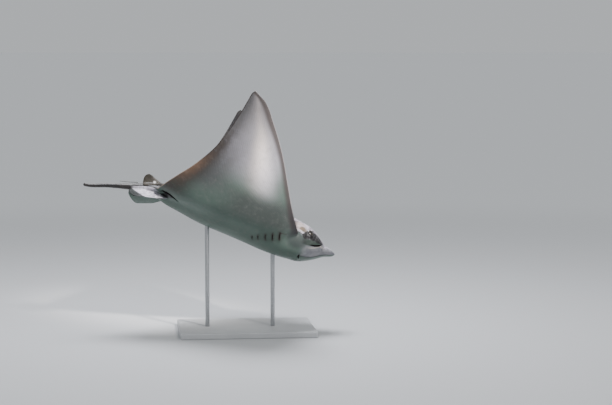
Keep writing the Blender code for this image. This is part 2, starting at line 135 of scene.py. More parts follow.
leading_edge = curve(
    (0, 0.094), (0.085, 0.132), (0.15, 0.166), (0.25, 0.215), (0.35, 0.267), (0.43, 0.321),
    (0.48, 0.362), (0.5, 0.4))
trailing_edge = curve(
    (0, 0.59), (0.055, 0.581), (0.1, 0.565), (0.15, 0.538), (0.2, 0.507), (0.3, 0.457),
    (0.4, 0.427), (0.47, 0.412), (0.49, 0.4075), (0.5, 0.4))
body_width = curve(
    (0.03, 0.03), (0.045, 0.052), (0.07, 0.068), (0.1, 0.08), (0.14, 0.088), (0.22, 0.105),
    (0.34, 0.108), (0.46, 0.08), (0.545, 0.045), (0.6, 0.024), (0.66, 0.0105), (0.82, 0.0062))
wing_root = curve((0.12, 0.085), (0.22, 0.1), (0.34, 0.102), (0.46, 0.078), (0.57, 0.04))
lobe_width = curve(
    (-0.004, 0), (0, 0.017), (0.01, 0.03), (0.035, 0.044), (0.07, 0.05), (0.105, 0.052))
body_top = curve(
    (0.03, 0.008), (0.05, 0.023), (0.08, 0.044), (0.11, 0.055), (0.16, 0.061), (0.25, 0.074),
    (0.33, 0.075), (0.43, 0.058), (0.54, 0.028), (0.6, 0.016), (0.66, 0.0112), (0.82, 0.0058))
body_bottom = curve(
    (0.03, 0.018), (0.05, 0.034), (0.08, 0.052), (0.105, 0.062), (0.19, 0.0645), (0.3, 0.057),
    (0.42, 0.0505), (0.5, 0.038), (0.56, 0.028), (0.6, 0.0165), (0.66, 0.0075), (0.82, 0.0036))
lobe_top = curve(
    (-0.004, -0.002), (0.002, 0.0035), (0.015, 0.0085), (0.036, 0.0115), (0.06, 0.006),
    (0.105, -0.016))
lobe_bottom = curve(
    (-0.004, -0.002), (0.0005, -0.0085), (0.029, -0.022), (0.069, -0.046), (0.105, -0.061))
dorsal_rise = curve(
    (0.566, 0), (0.58, 0.0072), (0.594, 0.0174), (0.604, 0.0262), (0.6116, 0.03), (0.619, 0.0272),
    (0.6245, 0.019), (0.627, 0.006))


def rounded_ends(x, rounding):
    """1 along the body, falling to 0 at the crown's front and at the tail's end."""
    front = np.clip((x - CROWN_FRONT) / rounding, 0, 1)
    rear = np.clip((TAIL_END - x) / TAIL_ROUNDING, 0, 1)
    return np.sqrt(front * (1 - (1 - rear) ** 2))


def half_width(x):
    """Half width of head, trunk and tail at station x."""
    return body_width(x) * rounded_ends(x, SNOUT_ROUNDING)


def aerofoil(chord):
    """Half thickness of a symmetric wing section, 1 at its thickest."""
    c = np.clip(chord, 0, 1)
    return 10 * (0.2969 * np.sqrt(c) - 0.126 * c - 0.3516 * c**2 + 0.2843 * c**3 - 0.1036 * c**4)


def body_height(x, y, side):
    """Height of the head, trunk and tail alone; side is 1 above and -1 below."""
    q = np.abs(y) / np.maximum(half_width(x), 1e-5)
    profile = (body_top if side > 0 else body_bottom)(x) * rounded_ends(x, CROWN_ROUNDING)
    head = 1 - smooth(*HEAD_SECTION, x)
    round_ends = np.maximum(head, smooth(*TAIL_SECTION, x))
    section = np.clip(1 - np.minimum(q, 1) ** (SECTION_POWER + HEAD_FULLNESS * head), 0, 1)
    section = section ** (SECTION_POWER - END_ROUNDNESS * round_ends)
    return np.where(q < 1, profile * section, -(q - 1) * SLOPE_OUTSIDE)


def chord_of(x, y):
    """How far back a point lies between the wing's two edges, 0 to 1 on the wing."""
    front, rear = leading_edge(np.abs(y)), trailing_edge(np.abs(y))
    return (x - front) / np.maximum(rear - front, 1e-6)


def height(x, y, side):
    """Signed height of the whole rest shape, wings filleted into the body."""
    body = body_height(x, y, side)
    chord = chord_of(x, y)
    inside = (chord > 0) & (chord < 1) & (np.abs(y) <= WING_TIP)
    c = np.clip(chord, 0, 1)
    edge = EDGE_THICKNESS * np.sqrt(np.clip(1 - np.abs(2 * c - 1) ** EDGE_SQUARENESS, 0, 1))
    taper = (1 - np.clip(np.abs(y) / WING_TIP, 0, 1)) ** WING_TAPER
    wing = WING_THICKNESS * taper * aerofoil(c) + edge
    blend = FILLET * smooth(0, FILLET_START, c) * smooth(0, FILLET_START, 1 - c)
    joined = 0.5 * (body + wing + np.sqrt((body - wing) ** 2 + blend**2))
    return side * np.maximum(np.where(inside, joined, body), 0)


def on_skin(x, y, side):
    """Points of the rest shape's upper or lower surface."""
    x, y = np.broadcast_arrays(x, y)
    return np.stack([x, y, height(x, y, side)], -1)


def wing_angle(y, x):
    """Upward slope of the wing at distance y from the midline."""
    half = WING_BEND_END / 2
    outer = np.clip((y - half) / (WING_TIP - half), 0, 1)
    angle = WING_RISE_ROOT * smooth(0, WING_BEND_END, y) + (WING_RISE_TIP - WING_RISE_ROOT) * outer
    twisted = angle * (1 + WING_TWIST * (x - WING_TWIST_CENTRE))
    return np.radians(twisted) * smooth(*HEAD_STIFF, x)


def body_angle(x):
    """Downward slope of the body axis at station x."""
    return np.radians(PITCH + (TAIL_PITCH - PITCH) * smooth(*TAIL_BEND, x))


def integrate(function, end):
    """Integral of function from 0 to end, by Gauss's rule."""
    nodes, weights = np.polynomial.legendre.leggauss(INTEGRAL_POINTS)
    return sum(w / 2 * end * function(end * (n + 1) / 2) for n, w in zip(nodes, weights))


def place(x, y, z):
    """Bend rest-shape points into the pose, in the row frame; the ray's left side has y > 0."""
    x, y, z = np.broadcast_arrays(x, y, z)
    side, y = np.where(y < 0, -1, 1), np.abs(y)
    x = x + WING_SWEEP * y**2
    slope = wing_angle(y, x)
    across = integrate(lambda t: np.cos(wing_angle(t, x)), y) - z * np.sin(slope)
    up = integrate(lambda t: np.sin(wing_angle(t, x)), y) + z * np.cos(slope)
    nose = body_angle(x)
    ahead = -integrate(lambda t: np.cos(body_angle(t)), x) + up * np.sin(nose)
    above = integrate(lambda t: np.sin(body_angle(t)), x) + up * np.cos(nose)
    bank = np.radians(BANK)
    lateral = side * across * np.cos(bank) + above * np.sin(bank)
    above = above * np.cos(bank) - side * across * np.sin(bank)
    return np.stack([ahead, lateral, above], -1) * DISC_WIDTH + SNOUT_TIP


# ---- faces and shells

def sheet_faces(grid, turned=False):
    """Quads of a sheet of numbered points."""
    quads = np.stack([grid[:-1, :-1], grid[1:, :-1], grid[1:, 1:], grid[:-1, 1:]], -1).reshape(-1, 4)
    return quads[:, ::-1] if turned else quads


def tube_faces(rings, corners):
    """Quads of a tube of rings; the first and the last ring are each one point."""
    number = np.arange(rings * corners).reshape(rings, corners)
    number[0], number[-1] = number[0, 0], number[-1, 0]
    return sheet_faces(np.concatenate([number, number[:, :1]], 1))


def drop_unused(points, faces):
    used, where = np.unique(faces, return_inverse=True)
    return points[used], where.reshape(-1, 4)


def join_shells(shells):
    starts = np.cumsum([0] + [len(points) for points, _ in shells])
    faces = [faces + start for (_, faces), start in zip(shells, starts)]
    return drop_unused(np.concatenate([points for points, _ in shells]), np.concatenate(faces))


def shut(upper, lower):
    """Closed shell between two sheets that share no rim."""
    rows, columns = upper.shape[:2]
    number = np.arange(rows * columns).reshape(rows, columns)
    below = number + rows * columns
    walls = ((number[:, 0], below[:, 0], True), (number[:, -1], below[:, -1], False),
             (number[0], below[0], False), (number[-1], below[-1], True))
    faces = [sheet_faces(number), sheet_faces(below, True)]
    faces += [sheet_faces(np.stack([a, b], 1), turned) for a, b, turned in walls]
    return np.concatenate([upper.reshape(-1, 3), lower.reshape(-1, 3)]), np.concatenate(faces)


def pod(path, wide, deep, inward, fullest=0.5, ring=20):
    """Closed shell round a path, elliptic across, tapering from its fullest place to its ends."""
    count = len(path)
    share = np.linspace(0, 1, count)
    share = np.where(share < fullest, share / fullest - 1, (share - fullest) / (1 - fullest))
    taper = np.sqrt(np.clip(1 - share**2, 0, 1))
    along = np.gradient(path, axis=0)
    aside = np.cross(along, inward)
    aside /= np.linalg.norm(aside, axis=1)[:, None]
    down = np.cross(aside, along)
    down /= np.linalg.norm(down, axis=1)[:, None]
    angle = np.linspace(0, 2 * np.pi, ring, endpoint=False)
    shell = (path[:, None] + (wide * taper)[:, None, None] * np.cos(angle)[None, :, None] * aside[:, None]
             + (deep * taper)[:, None, None] * np.sin(angle)[None, :, None] * down[:, None])
    return shell.reshape(-1, 3), tube_faces(count, ring)


def ball_shell(centre, radius, rings=48, segments=72):
    """Globe as a closed shell of quads with its poles along y."""
    polar = np.linspace(0, np.pi, rings + 1)[:, None]
    turn = np.linspace(0, 2 * np.pi, segments, endpoint=False)[None, :]
    shape = np.stack([np.sin(polar) * np.cos(turn), np.cos(polar) + 0 * turn,
                      np.sin(polar) * np.sin(turn)], -1) * radius + np.array(centre)
    return shape.reshape(-1, 3), tube_faces(rings + 1, segments)


def make_mesh(name, points, faces):
    """Mesh from points and quads; a quad with two equal corners becomes a triangle."""
    rows = [tuple(dict.fromkeys(f)) for f in faces.tolist()]
    mesh = bpy.data.meshes.new(name)
    mesh.from_pydata(points.tolist(), [], [r for r in rows if len(r) > 2])
    mesh.validate()
    return mesh


def shell_mesh(name, points, faces):
    """Mesh of closed shells, welded, with all faces pointing out."""
    mesh = make_mesh(name, points, faces)
    tidy = bmesh.new()
    tidy.from_mesh(mesh)
    bmesh.ops.remove_doubles(tidy, verts=tidy.verts, dist=1e-7)
    bmesh.ops.recalc_face_normals(tidy, faces=tidy.faces)
    tidy.to_mesh(mesh)
    tidy.free()
    return mesh


def new_object(name, data):
    item = bpy.data.objects.new(name, data)
    bpy.context.scene.collection.objects.link(item)
    return item


def combine(item, operation, shells, name):
    """Union or difference with closed shells."""
    other = new_object(name, shell_mesh(name, *join_shells(shells)))
    change = item.modifiers.new(name, "BOOLEAN")
    change.operation, change.solver, change.object = operation, "MANIFOLD", other
    bpy.context.view_layer.update()
    made = bpy.data.meshes.new_from_object(item.evaluated_get(bpy.context.evaluated_depsgraph_get()))
    item.modifiers.clear()
    item.data = made
    bpy.data.objects.remove(other)


def vectors(items, key="co"):
    """Places, or normals, of a mesh's points."""
    flat = np.empty(len(items) * 3, np.float32)
    items.foreach_get(key, flat)
    return flat.reshape(-1, 3).astype(float)


# ---- the skin's grid, in rest shape

ACROSS = np.linspace(-1, 1, 2 * HALF_COLUMNS + 1)
ARC = np.sin(ACROSS * np.pi / 2)


def root_stations(rounds=60):
    """The wing's rows: chord fractions, and stations on the root line."""
    chord = (1 - np.cos(np.linspace(0, np.pi, ROWS + 1))) / 2
    x = 0.13 + 0.43 * chord
    for _ in range(rounds):
        front, rear = leading_edge(wing_root(x)), trailing_edge(wing_root(x))
        x = front + (rear - front) * chord
    return chord, x


CHORD, ROOT = root_stations()
NECK, RUMP = ROOT[0], ROOT[-1]
head_centre = curve(
    (LOBE_FRONT, -0.002), (0.004, -0.003), (0.015, -0.0045), (0.036, -0.008), (0.06, -0.012),
    (0.09, -0.01), (0.12, -0.003), (NECK, 0))


def last_inside(inside, across, upward, centre, reach=0.12, steps=50):
    """How far a ray from (0, centre) goes before it leaves the section."""
    step = reach / steps
    near = np.zeros(np.broadcast(across, upward, centre).shape)
    for r in np.arange(1, steps) * step:
        near = np.where(inside(r * across, centre + r * upward), r, near)
    far = near + step
    for _ in range(12):
        middle = (near + far) / 2
        hit = inside(middle * across, centre + middle * upward)
        near, far = np.where(hit, middle, near), np.where(hit, far, middle)
    return near


def head_sheet(side):
    """Upper or lower half of crown and bill, blended where they meet."""
    even = np.linspace(0, 1, HEAD_ROWS + 1)
    x = (LOBE_FRONT + (NECK - LOBE_FRONT) * (0.62 * even**2 + 0.38 * even))[:, None]
    centre, half, bill_half = head_centre(x), half_width(x), np.maximum(lobe_width(x), 1e-6)
    low, high = lobe_bottom(x), lobe_top(x)
    wide = np.maximum(half, bill_half)
    tall = np.maximum((body_top(x) + body_bottom(x)) / 2 * (x > CROWN_FRONT), -low / 2)
    across, upward = wide * ARC, side * tall * np.cos(ACROSS * np.pi / 2)
    length = np.maximum(np.hypot(across, upward), 1e-9)
    across, upward = across / length, upward / length
    crown = last_inside(lambda y, z: (x > CROWN_FRONT) & (np.abs(y) < half)
                        & (z < height(x, y, 1)) & (z > height(x, y, -1)), across, upward, centre)
    keel = low + LOBE_KEEL * (high - low)

    def in_bill(y, z):
        inward = np.clip(1 - (y / bill_half) ** 2, 0, 1)
        return ((x < LOBE_REAR) & (np.abs(y) < lobe_width(x))
                & (z < keel + (high - keel) * inward**LOBE_TOP_ROUNDING)
                & (z > keel - (keel - low) * inward**LOBE_UNDER_ROUNDING))

    bill = last_inside(in_bill, across, upward, centre)
    blend = 0.0035 * (1 - smooth(0.085, LOBE_REAR, x)) * smooth(CROWN_FRONT, CROWN_FRONT + 0.01, x)
    reach = 0.5 * (crown + bill + np.sqrt((crown - bill) ** 2 + blend**2))
    y, z = across * reach, centre + upward * reach
    y = y * (1 + smooth(0.11, NECK, x) * (wing_root(NECK) / half_width(NECK) - 1))
    return np.stack([x + 0 * y, y, z], -1)


def disc_sheet(neck_y, side):
    """Upper or lower side of both wings and trunk, and the trunk alone."""
    spread = neck_y / wing_root(NECK)
    spread[0], spread[-1] = -1, 1
    mix = smooth(0, 0.2, CHORD)[:, None]
    root = wing_root(ROOT)[:, None]
    trunk = on_skin(ROOT[:, None], root * (spread * (1 - mix) + 0.5 * (ARC + ACROSS) * mix), side)
    even = np.linspace(0, 1, SPAN_COLUMNS + 1)[1:]
    y = root + (WING_TIP - root) * (even / 2 + (1 - np.cos(np.pi * even)) / 4)
    front, rear = leading_edge(y), trailing_edge(y)
    chord = CHORD[:, None]
    z = height(front + (rear - front) * np.clip(chord, 1e-4, 1 - 1e-4), y, side)
    left = np.stack([front + (rear - front) * chord, y, z], -1)
    disc = np.concatenate([(left * (1, -1, 1))[:, ::-1], trunk, left], 1)
    for row, station in ((0, NECK), (-1, RUMP)):
        disc[row, :, 2] *= np.abs(disc[row, :, 1]) < wing_root(station) - 1e-9
    disc[:, 0, 2] = disc[:, -1, 2] = 0
    return disc, trunk


def tail_sheet(trunk_end, side):
    """Upper or lower half of the tail, from the trunk's last row."""
    even = np.linspace(0, 1, TAIL_ROWS + 1)
    x = (RUMP + (TAIL_END - RUMP) * (1 - (1 - even) ** 1.25))[:, None]
    fade = smooth(0, 0.025, x - RUMP)
    taper = np.clip(half_width(x) / half_width(RUMP), 0, 1)
    wide = half_width(x) + (wing_root(RUMP) - half_width(RUMP)) * (1 - fade) * taper
    share = 0.5 * (ARC + ACROSS) * (1 - fade) + ARC * fade
    own = body_height(x + 0 * share, half_width(x) * share * 0.99999, side) * side
    profile = body_top if side > 0 else body_bottom
    z = trunk_end[:, 2] * profile(x) / profile(RUMP) * (1 - fade) + own * fade
    z[:, 0] = z[:, -1] = 0
    tail = np.stack([x + 0 * z, wide * share, z], -1)
    tail[0] = trunk_end
    return tail


def body_sheets(side):
    head = head_sheet(side)
    disc, trunk = disc_sheet(head[-1, :, 1], side)
    head[-1] = trunk[0]
    return head, disc, tail_sheet(trunk[-1], side)


def body_mesh():
    """Rest-shape points and faces of head, disc and tail as one closed surface."""
    (head, disc, tail), (head_low, disc_low, tail_low) = body_sheets(1), body_sheets(-1)
    points = []

    def number(sheet):
        start = sum(len(p) for p in points)
        points.append(sheet.reshape(-1, 3))
        return np.arange(sheet[..., 0].size).reshape(sheet.shape[:2]) + start

    top, low = number(disc), number(disc_low)
    first, last = SPAN_COLUMNS, SPAN_COLUMNS + 2 * HALF_COLUMNS
    for row in (0, -1):
        low[row, : first + 1] = top[row, : first + 1]
        low[row, last:] = top[row, last:]
    for column in (0, -1):
        top[:, column] = low[:, column] = top[0, column]
    grids = [(top, False), (low, True)]
    for upper, lower, row, own_row, tip_row in ((head, head_low, 0, -1, 0), (tail, tail_low, -1, 0, -1)):
        a, b = number(upper), number(lower)
        a[own_row], b[own_row] = top[row, first : last + 1], low[row, first : last + 1]
        b[:, 0], b[:, -1] = a[:, 0], a[:, -1]
        a[tip_row] = b[tip_row] = a[tip_row, 0]
        grids += [(a, False), (b, True)]
    faces = np.concatenate([sheet_faces(grid, turned) for grid, turned in grids])
    return drop_unused(np.concatenate(points), faces)


# ---- openings, eyes and fins

def arc(middle, run, bow, points):
    """Path from middle - run to middle + run, its ends bowed off by bow."""
    t = np.linspace(-1, 1, points)
    return np.array(middle) + np.outer(t, run) + np.outer(t**2, bow)


def gill_path(inner, outer, steps=15):
    t = np.linspace(0, 1, steps)[:, None]
    path = np.array(inner) * (1 - t) + np.array(outer) * t
    path[:, 0] += GILL_BOW * np.sin(np.pi * t[:, 0])
    return path


def gill_gap(x, y, slit):
    """Distance in plan from a gill slit, and how far behind its line a point lies."""
    path = gill_path(*slit, 9)
    gap = np.hypot(x[:, None] - path[:, 0], y[:, None] - path[:, 1]).min(1)
    return gap, x - np.interp(y, path[:, 1], path[:, 0])


def side_cuts():
    """Openings of the left side: path, half width, depth, way inward and fullest place."""
    for slit in GILL_SLITS:
        yield on_skin(*gill_path(*slit).T, -1), 0.0017, 0.0048, (-0.35, 0, 1), 0.5
    fold = arc((0.0695, 0.0675, -0.0022), (0.0185, 0.0105, -0.0085), (0, -0.0035, 0.002), 17)
    yield fold, 0.003, 0.0085, (0.25, -1, 0.25), 0.3
    spiracle = on_skin(*arc(SPIRACLE, (0.0085, 0.003), (0, 0), 17).T, 1) - (0, 0, 0.0005)
    yield spiracle, 0.0038, 0.0085, (0.35, -0.45, -1), 0.5
    nostril = arc((0.0935, 0.024, 0), (0, 0.0062, 0), (0.003, 0, 0), 17)
    nostril[:, 2] = height(0.0935, nostril[:, 1], -1)
    yield nostril, 0.002, 0.0045, (0.2, 0, 1), 0.5
    mouth_corner = arc((0.1075, 0.0525, -0.0522), (0.0015, 0.0085, 0.0052), (-0.0045, 0, 0), 17)
    yield mouth_corner, 0.0028, 0.0065, (0.1, -0.6, 1), 0.5
    u = np.linspace(0, 1, 25)
    fin_pocket = np.stack([0.572 - 0.066 * u,
                           0.044 + 0.024 * np.sin(np.pi * u * 0.8) * (1 - u) + 0.004 * u,
                           -0.003 - 0.0175 * u**1.3], -1)
    yield fin_pocket, 0.0042, 0.0085, (0, -1, 0.6), 0.12


def cut_shells():
    """Everything that opens the skin; the eye sockets are cut after it."""
    shells = [pod(path * (1, side, 1), wide, deep, np.array(inward) * (1, side, 1), fullest)
              for side in (1, -1) for path, wide, deep, inward, fullest in side_cuts()]
    mouth = arc((MOUTH_MIDDLE, 0), (0, MOUTH_HALF_WIDTH), (-MOUTH_BOW, 0), 41)
    shells.append(pod(on_skin(*mouth.T, -1), 0.0019, 0.0075, (0.1, 0, 1)))
    cloaca = arc((0.532, 0), (0.0085, 0), (0, 0), 41)
    shells.append(pod(on_skin(*cloaca.T, -1), 0.0011, 0.003, (0, 0, 1)))
    return shells


def pelvic_shell(name, side):
    """Rounded flap beside the tail root, drooping from the belly, with low fin rays."""
    along = np.linspace(0, 1, 91)[:, None]
    out = np.linspace(0, 1, 71)[None, :]
    front = PELVIC_FRONT + PELVIC_SWEEP * out
    rear = PELVIC_REAR + PELVIC_REAR_BULGE * np.sin(np.pi * out) - PELVIC_CORNER * out**3
    x = front + (rear - front) * along
    reach = (PELVIC_WIDTH * out * (1 - PELVIC_FRONT_TAPER * (1 - along) ** 2)
             * np.sqrt(1 - PELVIC_END_TAPER * (2 * along - 1) ** 8))
    rays = 0.00022 * np.sin(70 * along + 9 * out * along)
    rays = rays * smooth(0.15, 0.4, out) * (1 - smooth(0.85, 1, out))
    rim = np.sqrt(np.clip(1 - (2 * along - 1) ** 16, 0, 1) * np.clip(1 - out**20, 0, 1))
    thick = FIN_EDGE_THICKNESS + PELVIC_ROOT_THICKNESS * (1 - out) * np.sin(np.pi * along) ** 0.5
    thick = thick * (0.35 + 0.65 * rim) + rays
    droop = np.radians(PELVIC_DROOP[name])
    y = PELVIC_ROOT_OUT * half_width(x) + reach * np.cos(droop)
    z = -PELVIC_ROOT_DOWN * body_bottom(x) - reach * np.sin(droop)
    return shut(*[np.stack([x, side * (y + s * thick * np.sin(droop)), z + s * thick * np.cos(droop)], -1)
                  for s in (1, -1)])


def dorsal_shell():
    """Small upright fin on the tail root, flared at its foot."""
    along = np.linspace(0, 1, 61)[:, None]
    up = np.linspace(-0.25, 1, 51)[None, :]
    above = np.maximum(up, 0)
    crowded = along + np.sin(np.pi * along) / (2 * np.pi)
    x = DORSAL_FRONT + (DORSAL_REAR - DORSAL_FRONT) * crowded + 0 * up
    rise = np.maximum(dorsal_rise(x), DORSAL_LEAST_HEIGHT) * up
    rim = np.sqrt(np.clip(1 - np.abs(2 * along - 1) ** 10, 0, 1) * np.clip(1 - above**16, 0, 1))
    thick = FIN_EDGE_THICKNESS + DORSAL_ROOT_THICKNESS * (1 - above) * np.sin(np.pi * along) ** 0.5
    thick = (thick + DORSAL_FLARE * np.clip(1 - up / 0.22, 0, 1.5) ** 2) * (0.3 + 0.7 * rim)
    return shut(*[np.stack([x, s * thick, body_top(x) + rise], -1) for s in (1, -1)])


# ---- relief

def eye_relief(x, y, z):
    """Lids and brow round the eye, and the furrow round them."""
    offset = np.stack([x, y, z], -1) - np.array(EYE)
    lift = offset @ EYE_AXIS
    ring = np.linalg.norm(offset - lift[:, None] * EYE_AXIS, axis=1)
    near = (lift > 0) * smooth(0.04, 0.02, np.linalg.norm(offset, axis=1))
    upper = 0.5 + 0.5 * np.tanh((offset[:, 2] - 0.003) / 0.006)
    lid = (0.0011 + 0.0013 * upper) * bump(ring, 0.0112, 0.003)
    return near * (lid - 0.0012 * bump(ring, 0.0185, 0.004))


def relief(x, y, z):
    """How far the skin stands out: lids, lips, rims and the ridge of the back."""
    out = eye_relief(x, y, z)
    for slit in GILL_SLITS:
        gap, behind = gill_gap(x, y, slit)
        out += (z < 0) * (x > 0.15) * bump(gap, 0, 0.005) * np.where(behind < 0, 0.0011, -0.0004)
    behind = x - (MOUTH_MIDDLE - MOUTH_BOW * (y / LIP_HALF_WIDTH) ** 2)
    lips = 0.001 * bump(behind, -0.0045, 0.0028) + 0.0012 * bump(behind, 0.005, 0.0034)
    hole = np.sqrt(((x - SPIRACLE[0]) / 0.0088) ** 2 + ((y - SPIRACLE[1]) / 0.0056) ** 2)
    ridge = 0.001 * bump(y, 0, 0.005) * smooth(0.2, 0.28, x) * (1 - smooth(0.5, 0.56, x))
    return (out + (z < -0.02) * smooth(0.056, 0.04, y) * lips
            + (z > 0.02) * 0.0012 * bump(hole, 1.25, 0.3) + (z > 0) * ridge)


def make_skin():
    """The skin in rest shape, and a search tree of it without fins and openings."""
    skin = new_object("skin", make_mesh("skin", *body_mesh()))
    rest = vectors(skin.data.vertices)
    out = relief(rest[:, 0], np.abs(rest[:, 1]), rest[:, 2])
    rest += out[:, None] * vectors(skin.data.vertex_normals, "vector")
    skin.data.vertices.foreach_set("co", rest.ravel())
    skin.data.update()
    whole = BVHTree.FromPolygons(rest.tolist(), [tuple(p.vertices) for p in skin.data.polygons])
    combine(skin, "UNION", [pelvic_shell("left", 1), pelvic_shell("right", -1), dorsal_shell()], "fins")
    combine(skin, "DIFFERENCE", cut_shells(), "openings")
    socket = EYE_RADIUS + GAP / 4 / DISC_WIDTH
    combine(skin, "DIFFERENCE", [ball_shell(np.array(EYE) * (1, side, 1), socket) for side in (1, -1)],
            "sockets")
    return skin, whole


# ---- what each point of the skin knows

# Along the side of the head: the back's lower limit, the fold under the crown, the bill's keel,
# the middle and half height of the dark patch below the eye, and the painted shade in the crease behind the
# cheek.
back_line = curve(
    (-0.004, 0.0005), (0.012, 0.0035), (0.025, 0.0045), (0.04, 0.004), (0.05, 0.011),
    (0.065, 0.013), (0.085, 0.01), (0.105, 0.004), (0.118, 0.006), (0.13, 0.0095), (0.14, 0.014),
    (0.15, 0))
fold_line = curve(
    (0, 0.001), (0.03, 0.004), (0.0523, 0.0089), (0.0671, -0.0011), (0.085, -0.0108),
    (0.115, -0.02))
keel_line = curve(
    (0, -0.004), (0.0196, -0.0119), (0.0413, -0.0209), (0.0707, -0.0385), (0.102, -0.0486),
    (0.115, -0.052))
patch_middle = curve(
    (0.045, 0.011), (0.06, 0.0165), (0.075, 0.0215), (0.088, 0.0225), (0.105, 0.013), (0.118, 0.008))
patch_reach = curve(
    (0.045, 0.001), (0.054, 0.006), (0.064, 0.011), (0.08, 0.0155), (0.092, 0.017), (0.106, 0.0165),
    (0.115, 0.008), (0.12, 0.001))
cheek_crease_shade = curve((0, 0.1395), (0.022, 0.1435), (0.047, 0.15))


def add_attribute(mesh, name, values):
    kind, key = ("FLOAT_VECTOR", "vector") if values.ndim == 2 else ("FLOAT", "value")
    layer = mesh.attributes.new(name, kind, "POINT")
    layer.data.foreach_set(key, values.astype(np.float32).ravel())


def blob(points, centre, radii):
    """1 at the centre of an ellipsoid, fading to 0 at its surface."""
    return 1 - smooth(0.55, 1, np.linalg.norm((points - centre) / radii, axis=1))


def disc_marks(x, y, z, fin):
    """Distances from the wing's edges in metres, its fin rays and colours."""
    on_disc = (x > NECK) & (y > 0.04) & (fin < 0.5)
    front, rear = leading_edge(y), trailing_edge(y)
    chord = np.where(on_disc, np.clip(chord_of(x, y), 0, 1), 0.4)
    band = 0.26 + 0.16 * np.clip((y - 0.15) / 0.35, 0, 1) + 0.1 * smooth(0.38, 0.48, y)
    # painted highlight: a pale band along each wing, a little behind the leading edge
    painted_highlight_band = bump(chord, band, 0.135) * smooth(0.15, 0.3, y) * (1 - 0.8 * smooth(0.31, 0.46, y))
    # painted shade: darker low on the wing near its root, below the pale band
    painted_root_shade = smooth(0.72, 0.4, chord) * smooth(0.075, 0.125, y) * smooth(0.225, 0.165, y)
    grey = (smooth(0.46, 0.82, chord) * smooth(0.1, 0.2, y) * (0.9 - 0.4 * smooth(0.25, 0.34, y))
            + 0.25 * smooth(0.36, 0.48, y) * (1 - bump(chord, band, 0.2))
            + 0.4 * smooth(0.68, 0.95, chord) * smooth(0.29, 0.38, y))
    brown = smooth(0.78, 0.95, chord) * smooth(0.05, 0.1, y) * (1 - smooth(0.3, 0.42, y))
    return dict(
        front_margin=np.where(on_disc, (x - front) * DISC_WIDTH + 0.05 * smooth(0.098, 0.086, y), 1),
        rear_margin=np.where(on_disc, (rear - x) * DISC_WIDTH, 1),
        ray=100 * np.arctan2(x - 0.33, y + 0.25),
        belly=1 - smooth(0.185, 0.3, y - 0.05 * smooth(0.25, 0.05, chord)),
        painted_highlight_band=painted_highlight_band, outer=smooth(0.31, 0.47, y), painted_root_shade=painted_root_shade, grey=grey, brown=brown,
        rust=smooth(0.87, 0.99, chord) * bump(y, 0.195, 0.056),
        # painted shade: dark along the underside of the wing's leading edge near its root
        pocket=0.85 * bump(x, front - 0.001, 0.013) * smooth(0.086, 0.096, y)
        * (1 - smooth(0.13, 0.235, y)) * (z < 0.004))


def tail_marks(points, fin, pelvic):
    """Colours of the pelvic and dorsal fins and of the tail's side and top; the pale on the pelvic fins and
    on the tail's side and top is painted highlight.
    """
    x, y, z = points.T
    top_line = -0.15 + 0.47 * smooth(0.575, 0.612, x)
    side_on = smooth(top_line + 0.05, top_line - 0.05, z / body_top(x)) * (z > -0.4 * body_bottom(x))
    white_end = 0.658 - 1.15 * np.maximum(-z - 0.003, 0)
    white = np.linalg.norm((points - (0.594, 0.005, 0.0225)) / (0.0046, 0.008, 0.0042), axis=1)
    return dict(
        flank=smooth(0.565, 0.585, x) * smooth(0.665, 0.645, x) * (1 - pelvic) * side_on,
        pelvic=pelvic, fin_rear=pelvic * smooth(white_end - 0.001, white_end + 0.002, x),
        dorsal=fin * (z > 0.004), white_spot=1 - smooth(0.7, 1.1, white),
        # painted highlight: the tail's top laid lighter, as lit from above
        tail_top_highlight=smooth(0.45, 0.8, z / body_top(x)) * smooth(0.6, 0.66, x) * (fin < 0.5))


